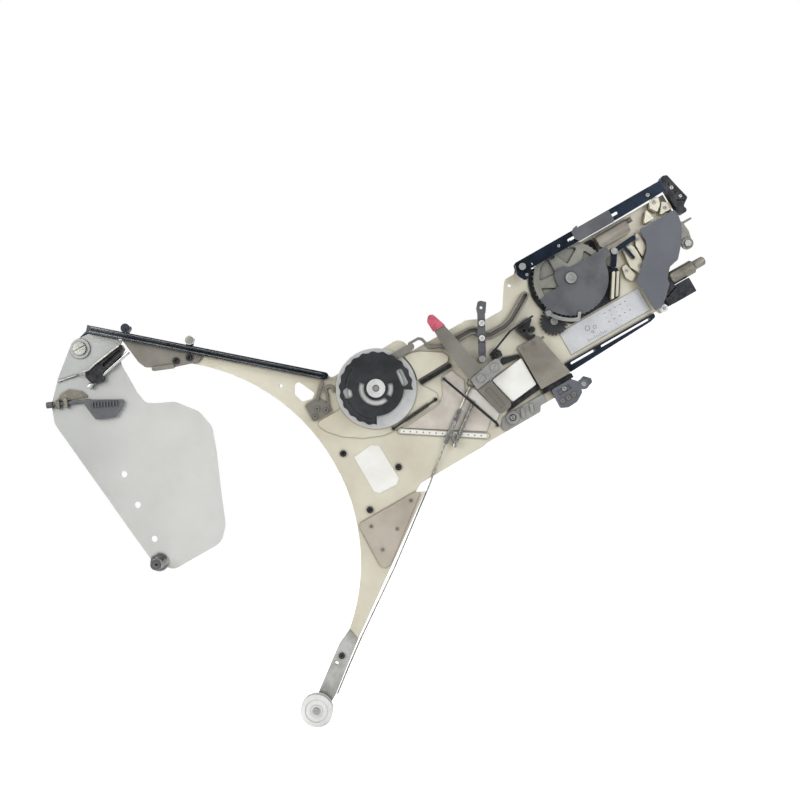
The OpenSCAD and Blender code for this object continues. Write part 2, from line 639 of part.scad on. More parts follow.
rod_eye_at = [317.5, 1.2];
rod_a_from = rod_eye_at - 58 * pull_dir;
rod_b_to = [308.5, -15.5];
rod_b_from = rod_b_to - 40 * pull_dir;
module pull_rods() color("gray") placed() {
    rod(spot(rod_a_from, rod_h), spot(rod_eye_at - 3.5 * pull_dir, rod_h), 1);
    difference() {
        post(rod_eye_at, 4.6, rod_h - 1, rod_h + 1);
        drill(rod_eye_at, 3.3, rod_h - 1, rod_h + 1);
    }
    rod(spot(rod_b_from, rod_h), spot(rod_b_to, rod_h), 1);
    coil(spot(rod_b_from + 4 * pull_dir, rod_h), spot(rod_b_to - 1 * pull_dir, rod_h), 1.6, 0.5, 17);
    for (s = [2, 24])
        raised(rod_h - 1.6, rod_h + 1.6) bar(rod_a_from + s * pull_dir, rod_a_from + (s + 7) * pull_dir, 4);
    raised(rod_h - 1, rod_h + 1) {
        bar(beside(rod_a_from, rod_eye_at, 7, 1.4), beside(rod_a_from, rod_eye_at, 26, 1.4), 1.2);
        bar(beside(rod_a_from, rod_eye_at, 7, -1.4), beside(rod_a_from, rod_eye_at, 26, -1.4), 1.2);
        bar(rod_a_from + 13 * pull_dir, rod_b_from + 1.5 * pull_dir, 2.4);
    }
    for (p = [rod_b_from, rod_b_to]) rod(spot(p, rod_h), spot(p + 3 * pull_dir, rod_h), 1.9);
}

module pull_wire() color("gray") placed() {
    low = 1.4;
    wire([spot([257.5, -44.5], low + 1.2), spot([250, -50.5], low), spot([244, -56], 0),
        spot([239, -60], -plate_t / 2), spot([180, -105.2], -plate_t / 2), spot(tail_line[1] + [2, -1], -plate_t / 2),
        spot(by_reel([97, -161.5]), -plate_t / 2 + 1.2), spot(by_reel([78, -176.3]), -0.5)], 0.7, [0, 1, 0], 6);
}

module strip_lever() color("dimgray") placed() difference() {
    union() {
        raised(lever_low, lever_low + 2) {
            bar(strip_at, [353.5, 49], 6.6);
            outline([[350, 49], [352, 55, 2], [356, 59.5, 2], [358.5, 59, 1], [362.5, 55.5, 1], [357, 47.5]]);
        }
        for (p = [[349.8, 41.6], [343.6, 30.2]]) post(p, 2.9, lever_low + 1.99, lever_low + 2.9);
        raised(lever_low + 1.99, lever_low + 3.2) bar([339, 22], [340, 24], 6);
    }
    drill(strip_at, small_pin_r + run_fit, lever_low, lever_low + 4);
    drill([356, 53.5], 1.2, lever_low, lever_low + 2);
}

module pivot_pins() color("silver") placed() {
    post(strip_at, small_pin_r, -plate_t, lever_low + 2 + air);
    post(strip_at, 3, 0, lever_low - air);
    post(strip_at, 2.8, lever_low + 2 + air, lever_low + 3);
    post(pinion_at, small_pin_r, -plate_t, gear_low + gear_t + air);
    post(pinion_at, 3.2, gear_low + gear_t + air, gear_low + gear_t + 1.3);
    post(cover_post_at, small_pin_r, -plate_t, 0.01);
    post(cover_post_at, 2.6, 0, cover_low);
    post(feed_at, small_pin_r, -plate_t, rocker_low + rocker_t + air);
    post(feed_at, 3, 0, rocker_low - air);
    post(feed_at, 2.8, rocker_low + rocker_t + air, rocker_low + rocker_t + 1.5);
    post(tape_arm_at, small_pin_r, -plate_t, arm_front + sheet_t + air);
    post(tape_arm_at, 3, arm_front + sheet_t + air, arm_front + sheet_t + 1.5);
    post(foot_roller_at, 1.2, -plate_t, 8);
    post(foot_roller_at, 1.9, 0, 1.5 - air);
    post(roller_at, roller_pin_r, -plate_t / 2, roller_low + roller_w + air);
    post(roller_at, 2.8, roller_low + roller_w + air, roller_low + roller_w + 1.6);
    post(on_rail(rail_roller_along, rail_roller_out), small_pin_r, 0, rail_h + air);
    post(on_rail(rail_roller_along, rail_roller_out), 2.8, rail_h + air, rail_h + 1.3);
    post(hook_at, small_pin_r, 0, clamp_h);
    post(latch_at, small_pin_r, -plate_t, 5.5);
    post(latch_at, 2.8, 5.5, 6.5);
    for (p = [lever_at, bracket_post_at]) {
        post(p, lever_pin_r, -plate_t, bracket_low);
        post(p, 2, bracket_low - 0.01, bracket_low + bracket_t);
        difference() {
            post(p, 3.3, bracket_low + bracket_t, bracket_low + bracket_t + 1.2);
            raised(bracket_low + bracket_t + 0.7, bracket_low + bracket_t + 2)
                translate(p) rotate(30) square([8, 0.8], center = true);
        }
    }
    post(lever_at, 4.6, rod_h + 1.5, lever_low - air);
    post(bracket_post_at, 3.6, 0, bracket_low);
    post(guard_pivot_at, guard_pin_r - 1.5, lug_face - lug_t, lug_face);
    post(guard_pivot_at, guard_pin_r, lug_face, boss_top + air);
    difference() {
        post(guard_pivot_at, guard_pin_r + 1.6, boss_top + air, boss_top + air + 1.6);
        raised(boss_top + air + 0.9, boss_top + 4) translate(guard_pivot_at) square([12, 1], center = true);
    }
    post(check_at, 1.2, cover_low, pawl_low + 1.2 + 0.15);
    post(check_at, 2, pawl_low + 1.35, pawl_low + 2.2);
}

// ---- Covers on the body ----

block_h = 9;
block_screw_spots = [[371, 4.8], [380.5, 4.6], [389.5, 4.8]];
module block_cover() color("tan") placed() difference() {
    raised(0, block_h) outline([[366.4, 8, 1], [387.5, 8, 2], [390, -7, 10], [395.5, -33.4, 1], [366.4, -33.4, 1]]);
    raised(-1, block_h - sheet_t) outline([[368, 0.5, 1], [386.5, 0.5, 2], [388, -8, 10], [393, -32, 1],
        [368, -32, 1]]);
    for (p = block_screw_spots) drill(p, 0.9 + seat_fit, block_h - 2, block_h);
}

module polished_covers() color("whitesmoke") placed() {
    raised(0, 6.5) outline([[333.5, -5.6, 1], [365, -1.5, 1], [365, -27.6, 1], [340, -30.6, 1]]);
    raised(0.8, 2.4) outline([[308, -5, 1], [316, 0.5, 1], [325, -34, 1], [319.5, -38.5, 1], [317.8, -33]]);
}

module guide_brackets() color("dimgray") placed() {
    raised(0, guide_h) outline([[343.5, 8.4, 1], [352, 8.4, 1], [352.5, 13, 1], [350, 16.5, 1], [343.5, 13.5, 1]]);
    raised(guide_h, guide_h + 1) band([[343, 14.3], [352, 17.3], [368, 23.6], [391, 25.2]], 1.8);
    difference() {
        raised(0, guide_h) outline([[373, 22, 1], [386, 26.5, 1], [390, 24, 1], [385, 19, 2], [380.5, 15, 2],
            [382, 11, 2], [386, 11.5, 1], [385, 9, 1], [378.5, 9, 2], [376, 13, 2]]);
        drill([378.5, 18], 1.6, 0, guide_h);
    }
    post([348.5, 11], 2.2, guide_h, guide_h + 1);
    post([385.5, 15.5], 2.6, 0, guide_h - 1);
    raised(0, 2) outline([[346, 1.5, 1], [351, 7, 1], [365, 2.5, 1], [365, -0.6]]);
}

module bottom_bracket() color("silver") placed() difference() {
    union() {
        raised(0, 1.5) outline([[321, -45, 1], [326, -38.5, 2], [358, -37.8, 1], [365.8, -37.8], [365.8, -45.4],
            [360, -45.4, 1], [357, -49.8, 1], [322, -49.8, 1]]);
        post([333.5, -42.8], 5.6, 1.49, 3);
        raised(1.49, 3) bar([342, -46], [344, -41], 3);
        raised(1.49, 3) bar([351, -46], [352.5, -41.5], 3);
    }
    drill([333.5, -42.8], 3.2, 2.2, 4);
}

clamp_h = 9;
clamp_screw_spots = [[377.5, -51], [383, -51], [388.5, -51]];
module clamp_block() color("dimgray") placed() difference() {
    union() {
        raised(0, clamp_h) outline([[374, -38.2, 1], [393, -38.2, 2], [397.5, -43, 2], [396, -53, 3], [388, -58, 4],
            [379, -58.5, 3], [373.5, -56, 1]]);
        post(hook_at, 4.6, 0, clamp_h);
    }
    raised(2.6, 6.4) outline([[394.7, -41], [412, -36], [412, -58], [394.7, -54]]);
    drill(hook_at, small_pin_r + seat_fit, 0, clamp_h);
    for (p = clamp_screw_spots) drill(p, 0.9 + seat_fit, clamp_h - 4, clamp_h);
    raised(clamp_h - 1, clamp_h + 1) outline([[377, -41, 1], [389, -41, 1], [390, -46, 1], [377, -46, 1]]);
}

module clamp_hook() color("dimgray") placed() difference() {
    union() {
        post(hook_at, 4.4, 2.9, 6.1);
        raised(2.9, 6.1) outline([[400, -43.1], [404, -41.5, 1], [409, -46.5, 1.5], [408, -50, 1.5], [402, -51.9, 1]]);
    }
    drill(hook_at, small_pin_r + run_fit, 2.9, 6.1);
}

module bottom_rail() color("midnightblue") placed() difference() {
    raised(-plate_t, 5) outline([[396.2, -24.5], [484, -24.5], [484, -28, 2], [478, -29.6, 4], [396.2, -33.2, 1]]);
    raised(-plate_t - 1, 6) bar([401, -27], [423, -27], 2.2);
    raised(-plate_t - 1, 6) bar([431, -27], [478, -27], 2);
}

// ---- Sprocket drive ----

module head_housing() color("lightgray") placed() difference() {
    raised(0, housing_t) outline(concat(arc(drum_at, 36, 137, 205), [[418, 2.5, 3], [466, 2.5, 3], [477, 20, 4],
        [477, 25, 2], [470, 31, 2], [470, 58, 3], [412, 60.8]]));
    drill(drum_at, drum_axle_r + seat_fit, 0, housing_t);
    drill(pinion_at, small_pin_r + seat_fit, 0, housing_t);
}

module hub_gear() color("gray") placed() difference() {
    raised(gear_low, gear_low + gear_t) translate(drum_at)
        polygon(gear_points(drum_gear_teeth, gear_module, backlash / 2, pinion_dir));
    drill(drum_at, drum_axle_r + run_fit, gear_low, gear_low + gear_t);
}

module sprocket() color("darkgray") placed() difference() {
    union() {
        post(drum_at, drum_pitch_r, gear_low + gear_t, drum_top);
        for (i = [0:sprocket_teeth - 1]) {
            a = 360 * (i + 0.5) / sprocket_teeth;
            raised(gear_low + gear_t + 1, drum_top - 1) translate(drum_at) rotate(a)
                polygon([[drum_pitch_r - 1, -0.7], [drum_tip_r, -0.35], [drum_tip_r, 0.35], [drum_pitch_r - 1, 0.7]]);
        }
        post(drum_at, 9, drum_top - 0.01, drum_top + 0.9);
    }
    for (i = [0:5]) {
        spoke = 60 * i + 12;
        raised(gear_low, drum_top + 1) translate(drum_at) rotate(spoke)
            outline([concat(polar(12.5, 0), [1]), concat(polar(drum_pitch_r - 4.5, -24), [1.5]),
                concat(polar(drum_pitch_r - 4.2, 0), [4]), concat(polar(drum_pitch_r - 4.5, 24), [1.5])]);
    }
    drill(drum_at, drum_axle_r + run_fit, gear_low, drum_top + 2);
}

module pinion() color("black") placed() difference() {
    raised(gear_low, gear_low + gear_t) translate(pinion_at)
        polygon(gear_points(pinion_teeth, gear_module, backlash / 2, pinion_dir + 180 + 180 / pinion_teeth));
    drill(pinion_at, small_pin_r + run_fit, gear_low, gear_low + gear_t);
}

cover_r = 32.5;
module drum_cover() color("dimgray") placed() difference() {
    union() {
        raised(cover_low, cover_low + sheet_t) polygon(concat(arc(drum_at, cover_r, 186, 355, 6),
            rounded([[470.5, 37.5, 1], [476, 37.5, 1], [476, 45.5, 1], [439, 45.5, 3], [436, 49, 2], [428, 50, 2],
                [424.5, 46, 2], [423, 36.5, 1]])));
        raised(cover_low, cover_low + sheet_t) bar(check_at, check_at + polar(8, 40), 7);
    }
    drill(drum_at, 2 + seat_fit, cover_low, cover_low + sheet_t);
    drill(check_at, 1.2 + seat_fit, cover_low, cover_low + sheet_t);
}

pawl_low = cover_low + sheet_t + air;
check_dir = atan2(check_at.y - drum_at.y, check_at.x - drum_at.x);
check_r = norm(check_at - drum_at);
module check_pawl() color("silver") placed() difference() {
    union() {
        raised(pawl_low, pawl_low + 1.2) {
            polygon(concat(arc(drum_at, check_r - 1.5, check_dir, check_dir + 44),
                arc(drum_at, check_r + 1.5, check_dir + 44, check_dir)));
            bar(drum_at + polar(check_r, check_dir + 43), drum_at + polar(check_r - 5, check_dir + 46), 2.4);
        }
        post(check_at, 2.6, pawl_low, pawl_low + 1.2);
    }
    drill(check_at, 1.2 + run_fit, pawl_low, pawl_low + 1.2);
}

// ---- Head ----

rocker_low = 6.3;
rocker_t = 2;
module feed_rocker() color("slategray") placed() difference() {
    raised(rocker_low, rocker_low + rocker_t) {
        bar([480, 39], [473.5, 29], 5.5);
        bar([480, 39], [500, 40.8], 4.4);
        bar([489, 40], [492, 26], 2.4);
    }
    drill(feed_at, small_pin_r + run_fit, rocker_low, rocker_low + rocker_t);
}

module head_plates() color("ivory") placed() {
    raised(0, 5.6) outline([[488, 37, 1], [496.5, 37, 1], [498, 30, 2], [498, 13, 1], [491, 11, 1], [486, 20, 2]]);
    raised(0, 5) outline([[499.5, 34, 1], [505, 44, 1], [507, 40, 1], [507, 29, 2], [499.5, 22, 1]]);
    raised(0, 4) outline([[480, 24, 2], [484.5, 24, 1], [487, 12, 2], [482, 8, 2], [478.5, 14, 2]]);
    raised(0, 8) outline([[514, 46.5, 1], [522, 57, 1], [524, 46.5, 1]]);
    raised(0, 9) outline([[525, 56, 1], [531, 63.5, 2], [536, 61, 1], [534, 54, 1], [529, 50, 1]]);
    raised(0, 7) outline([[530, 46.5, 1], [537, 56, 1], [542.5, 52, 1], [542.5, 46.5, 1]]);
    raised(housing_t, 9) bar([459, 5], [470.5, 23], 2.4);
    raised(housing_t, 6) bar([464, 5], [474.5, 21.5], 2.4);
}

module nose_block() color("dimgray") placed() difference() {
    raised(0, 8) outline([[512, 36, 2], [538, 36, 2], [533, 24, 4], [511, 3, 3], [511, -14, 1], [492, -18, 1],
        [488, -10, 3], [492, 4, 6], [509, 24, 4]]);
    rod(spot([499, pin_at.y], pin_h), spot([520, pin_at.y], pin_h), pin_body_r / 2 + seat_fit);
}

module nose_cover() color("dimgray") placed() {
    raised(8, 8 + sheet_t) outline([[508, 44.3, 1], [543, 44.3, 1], [543, 37, 2], [541.5, 30, 3], [535, 18, 8],
        [524, 5.5, 3], [515, 3.5, 2], [508, -4, 3], [507.5, -9, 3], [499, -17.5, 4], [491, -23.5, 2],
        [485.5, -22.8, 1], [484.6, -1, 1],
        [477, 1.5, 6], [490, 12, 6], [505.5, 27, 6], [508, 33, 3]]);
}

module nose_latch() color("silver") placed() difference() {
    union() {
        post(latch_at, 5, air, 5.2);
        raised(air, 4) outline([[535.2, 14, 1], [538.8, 32, 1], [545, 33, 1], [546, 22, 2], [544, 14, 1]]);
        raised(air, 2.4) bar([543, 31], [553, 31], 2);
    }
    drill(latch_at, small_pin_r + run_fit, 0, 6);
}

arm_front = 10.5;
module top_guide() color("midnightblue") placed() difference() {
    union() {
        raised(arm_front, arm_front + sheet_t) outline([[396.5, 62, 3], [399.5, guide_top, 2], [543.7, guide_top],
            [543.7, 62.5, 1], [500, 61.5, 1], [410, 61.5, 1], [401, 53.5, 2.5]]);
        raised(air, arm_front + sheet_t) outline([[410, guide_floor], [543.7, guide_floor], [543.7, guide_top],
            [410, guide_top]]);
        raised(drum_top + 0.5, arm_front + 0.01) bar([425, 66], [431.5, 61], 3);
        raised(air, air + 1.2) outline([[397.5, 63, 3], [399.5, guide_top, 2], [414, guide_top], [414, 63, 1]]);
    }
    drill(tape_arm_at, small_pin_r + run_fit, 0, arm_front + 2);
    drill([412, 64.5], 1.1, arm_front, arm_front + 2);
    raised(arm_front - 1, arm_front + 3) bar([450, 66.5], [497, 66.5], 2.4);
    raised(gear_low + gear_t, drum_top) outline([[416, guide_floor - 1], [456, guide_floor - 1],
        [456, guide_top + 1], [416, guide_top + 1]]);
}

module slider() color("gray") placed() {
    front = arm_front + sheet_t;
    raised(arm_front, front + slider_gap) bar([457, 66.5], [490, 66.5], 2.2);
    raised(front + slider_gap - 0.01, front + 2.2) outline([[455, guide_top - 0.5, 1], [492, guide_top - 0.5, 1],
        [492, 61, 1], [458, 61, 1], [455, 64, 1]]);
    raised(front + slider_gap, front + 2.2) bar([458, guide_top + 0.2], [461, guide_top + 0.9], 1.6);
}

barrel_r = 6;
barrel_at = [471, 53];
module spring_barrel() color("tan") placed() {
    a = spot(barrel_at, barrel_r);
    rod(a, a + [30, 0, 0], barrel_r);
    raised(0, 2 * barrel_r - 2) outline([[472, 46.6, 1], [500, 46.6, 1], [500, 50, 1], [472, 50, 1]]);
    rod(a + [29.9, 0, 3], a + [34, 0, 3], 1.4);
    coil(a + [30, 0, 3], a + [36.5, 0, 3], 2.2, 0.5, 5);
}

module shutter_block() color("dimgray") placed() difference() {
    raised(air + 0.7, arm_front + sheet_t) outline([[543.7, guide_top, 0], [547, guide_top + 2.4, 2],
        [551, guide_top + 1, 2], [554, 60, 4], [557, 48, 2], [550, 43, 2], [552.5, 38, 2.4], [546, 37.5, 2],
        [544, 43, 1], [543.7, 50]]);
    for (p = [[548, 66], [549.5, 57]]) drill(p, 1.2, 0, arm_front + 2);
    raised(arm_front, arm_front + 3) bar([548, 50], [553, 47], 2);
}

// ---- Foot and locating pin ----

module locating_pin() color("silver") placed() {
    step = pin_body_r - pin_r;
    nose = pin_len / 2;
    shoulder = -nose - step;
    back = pin_body_from - pin_at.x;
    translate(spot(pin_at, pin_h)) rotate([0, 90, 0]) rotate_extrude()
        polygon(concat([[0, back - 10], [pin_body_r / 2, back - 10], [pin_body_r / 2, back], [pin_body_r - 1, back],
            [pin_body_r, back + 1], [pin_body_r, shoulder], [pin_r, -nose], [pin_r, nose]],
            [for (k = [1:5]) [pin_r * cos(18 * k), nose + pin_r * sin(18 * k) * 0.6]]));
}

module foot_block() color("slategray") placed() {
    raised(0, 8) outline([[503, -26], [525, -26, 0.5], [525, -12.6, 1], [511.4, -12.6], [511.4, -15, 0.5], [503, -17.5]]);
    raised(0, 9) outline([[498, -18.5, 0.5], [502.7, -18.5, 0.5], [502.7, -25.8, 0.5], [498, -25.8, 0.5]]);
}

module foot_roller() color("gainsboro") placed() difference() {
    post(foot_roller_at, 3.4, 1.5, 7.5);
    drill(foot_roller_at, 1.2 + run_fit, 1, 8);
}

main_plate();
lower_arm();
splice_plate();
tail_arm();
tail_roller();
plate_screws();
cover_screws();
pivot_pins();
axles();
top_rail();
rail_roller();
end_bracket();
hinge_lug();
guard_plate();
reel_spindle();
brake_hinge();
brake_pad();
latch_block();
latch_bolt();
latch_spring();
takeup_core();
takeup_flange();
takeup_cover();
takeup_link();
entry_guide();
tape_guide();
wedge_cover();
sub_plate();
black_bars();
release_lever();
lever_grip();
lever_bracket();
pull_rods();
pull_wire();
strip_lever();
block_cover();
polished_covers();
guide_brackets();
bottom_bracket();
clamp_block();
clamp_hook();
bottom_rail();
head_housing();
hub_gear();
sprocket();
pinion();
drum_cover();
check_pawl();
feed_rocker();
head_plates();
nose_block();
nose_cover();
nose_latch();
top_guide();
slider();
spring_barrel();
shutter_block();
locating_pin();
foot_block();
foot_roller();
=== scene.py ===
import math

import bmesh
import bpy
from mathutils import Matrix, Vector


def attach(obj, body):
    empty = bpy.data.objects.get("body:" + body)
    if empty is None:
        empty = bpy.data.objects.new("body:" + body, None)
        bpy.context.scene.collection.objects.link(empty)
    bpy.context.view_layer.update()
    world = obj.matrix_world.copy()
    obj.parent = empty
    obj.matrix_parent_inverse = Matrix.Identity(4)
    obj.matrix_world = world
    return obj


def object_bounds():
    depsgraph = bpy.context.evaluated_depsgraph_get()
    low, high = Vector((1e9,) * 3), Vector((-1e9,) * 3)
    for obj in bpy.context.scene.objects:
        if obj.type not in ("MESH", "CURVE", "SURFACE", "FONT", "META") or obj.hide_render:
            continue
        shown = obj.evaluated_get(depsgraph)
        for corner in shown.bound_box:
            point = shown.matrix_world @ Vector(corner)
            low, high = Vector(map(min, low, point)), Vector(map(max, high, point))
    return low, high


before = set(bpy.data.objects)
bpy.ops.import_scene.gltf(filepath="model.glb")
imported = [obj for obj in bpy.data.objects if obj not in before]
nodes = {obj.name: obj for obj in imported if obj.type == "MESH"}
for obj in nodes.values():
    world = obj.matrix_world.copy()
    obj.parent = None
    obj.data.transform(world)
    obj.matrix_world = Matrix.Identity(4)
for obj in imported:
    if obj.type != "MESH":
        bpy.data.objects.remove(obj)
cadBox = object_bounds()
print("frame loaded:", len(nodes), "nodes")

# The plan is the flat drawing of the feeder in millimetres, and height is counted from the plate's face
planOrigin = (539.0, -6.0)
plateFace = 4.0


def spot(x, z, height):
    return Vector((x - planOrigin[0], plateFace - height, z - planOrigin[1])) * 0.001


cameraLook = {"turn": 29.7, "distance": 0.95, "width": 0.696, "middle": (256.0, 19.0), "sensor": 36.0}


def makeCamera(look):
    data = bpy.data.cameras.new("camera")
    data.sensor_width = look["sensor"]
    data.lens = look["sensor"] * look["distance"] / look["width"]
    data.clip_start, data.clip_end = 0.05, 20
    camera = bpy.data.objects.new("camera", data)
    bpy.context.scene.collection.objects.link(camera)
    t = math.radians(look["turn"])
    right, up = Vector((math.cos(t), 0, -math.sin(t))), Vector((math.sin(t), 0, math.cos(t)))
    back = Vector((0, -1, 0))
    place = spot(*look["middle"], 0) + back * look["distance"]
    camera.matrix_world = Matrix((
        (right.x, up.x, back.x, place.x),
        (right.y, up.y, back.y, place.y),
        (right.z, up.z, back.z, place.z),
        (0, 0, 0, 1)))
    bpy.context.scene.camera = camera
    return camera


camera = makeCamera(cameraLook)


def linear(hexColour):
    # sRGB hex to the linear values that Blender's sockets hold
    values = [int(hexColour[i:i + 2], 16) / 255 for i in (1, 3, 5)]
    return [v / 12.92 if v <= 0.04045 else ((v + 0.055) / 1.055) ** 2.4 for v in values] + [1.0]


def addNode(tree, kind, settings=None, links=None):
    # adds a node, sets its values or sockets by name or number, and links what feeds it
    node = tree.nodes.new("ShaderNode" + kind)
    for key, value in (settings or {}).items():
        if isinstance(key, int) or key in node.inputs:
            node.inputs[key].default_value = value
        else:
            setattr(node, key, value)
    for key, source in (links or {}).items():
        tree.links.new(source, node.inputs[key])
    return node


def setRamp(ramp, *stops):
    for element, (position, colour) in zip(ramp.color_ramp.elements, stops):
        element.position, element.color = position, colour


lamps = {
    # name: place, size, watts, colour
    "softboxAbove": ((-0.65, -0.8, 0.8), 0.8, 9.0, "#FFFDF8"),
    "softboxSide": ((0.85, -0.8, 0.1), 0.6, 4.0, "#F4F8FF"),
    "rimBehind": ((-0.3, 0.9, 0.6), 0.9, 6.0, "#FFFFFF"),
}
backdropColour = "#FFFFFF"
# what metal mirrors, from the horizon's height to the ceiling's, and how strong each kind of light is
studio = {"darkAt": 0.05, "dark": (0.10, 0.105, 0.11, 1), "brightAt": 0.75, "bright": (1.0, 1.0, 1.0, 1),
          "mirrored": 0.9, "plain": 0.55, "plainColour": "#F4F6FA"}
floorLook = {"below": 0.0005, "far": 6.0, "colour": "#FBFBFB", "glow": 0.62}


def makeLight():
    middle = (cadBox[0] + cadBox[1]) / 2
    for name, (place, size, watts, colour) in lamps.items():
        data = bpy.data.lights.new(name, "AREA")
        data.size, data.energy, data.color = size, watts, linear(colour)[:3]
        lamp = bpy.data.objects.new(name, data)
        lamp.location = middle + Vector(place)
        lamp.rotation_mode = "QUATERNION"
        lamp.rotation_quaternion = (middle - lamp.location).to_track_quat("-Z", "Y")
        bpy.context.scene.collection.objects.link(lamp)
    world = bpy.data.worlds.new("studio")
    bpy.context.scene.world = world
    world.use_nodes = True
    tree = world.node_tree
    tree.nodes.clear()
    path = addNode(tree, "LightPath")
    way = addNode(tree, "TexCoord")
    parts = addNode(tree, "SeparateXYZ", links={0: way.outputs["Generated"]})
    room = addNode(tree, "ValToRGB", links={0: parts.outputs["Z"]})
    setRamp(room, (studio["darkAt"], studio["dark"]), (studio["brightAt"], studio["bright"]))
    mirrored = addNode(tree, "Background", {"Strength": studio["mirrored"]},
                       {"Color": room.outputs["Color"]})
    plain = addNode(tree, "Background", {"Color": linear(studio["plainColour"]),
                                          "Strength": studio["plain"]})
    seen = addNode(tree, "Background", {"Color": linear(backdropColour), "Strength": 1.0})
    soft = addNode(tree, "MixShader", links={0: path.outputs["Is Glossy Ray"], 1: plain.outputs[0],
                                             2: mirrored.outputs[0]})
    last = addNode(tree, "MixShader", links={0: path.outputs["Is Camera Ray"], 1: soft.outputs[0],
                                             2: seen.outputs[0]})
    addNode(tree, "OutputWorld", links={"Surface": last.outputs[0]})


def makeFloor():
    mesh = bpy.data.meshes.new("floor")
    z, far = cadBox[0].z - floorLook["below"], floorLook["far"]
    mesh.from_pydata([(-far, -far, z), (far, -far, z), (far, far, z), (-far, far, z)], [], [(0, 1, 2, 3)])
    floor = bpy.data.objects.new("floor", mesh)
    bpy.context.scene.collection.objects.link(floor)
    paint = bpy.data.materials.new("paleFloor")
    paint.use_nodes = True
    tree = paint.node_tree
    tree.nodes.clear()
    path = addNode(tree, "LightPath")
    dull = addNode(tree, "BsdfDiffuse", {"Color": linear(floorLook["colour"])})
    glow = addNode(tree, "Emission", {"Color": linear(backdropColour), "Strength": floorLook["glow"]})
    lit = addNode(tree, "AddShader", links={0: dull.outputs[0], 1: glow.outputs[0]})
    both = addNode(tree, "MixShader", links={0: path.outputs["Is Camera Ray"], 1: dull.outputs[0],
                                             2: lit.outputs[0]})
    addNode(tree, "OutputMaterial", links={"Surface": both.outputs[0]})
    mesh.materials.append(paint)


makeLight()
makeFloor()
bpy.context.scene.view_settings.view_transform = "Standard"
print("camera, lamps and floor made")

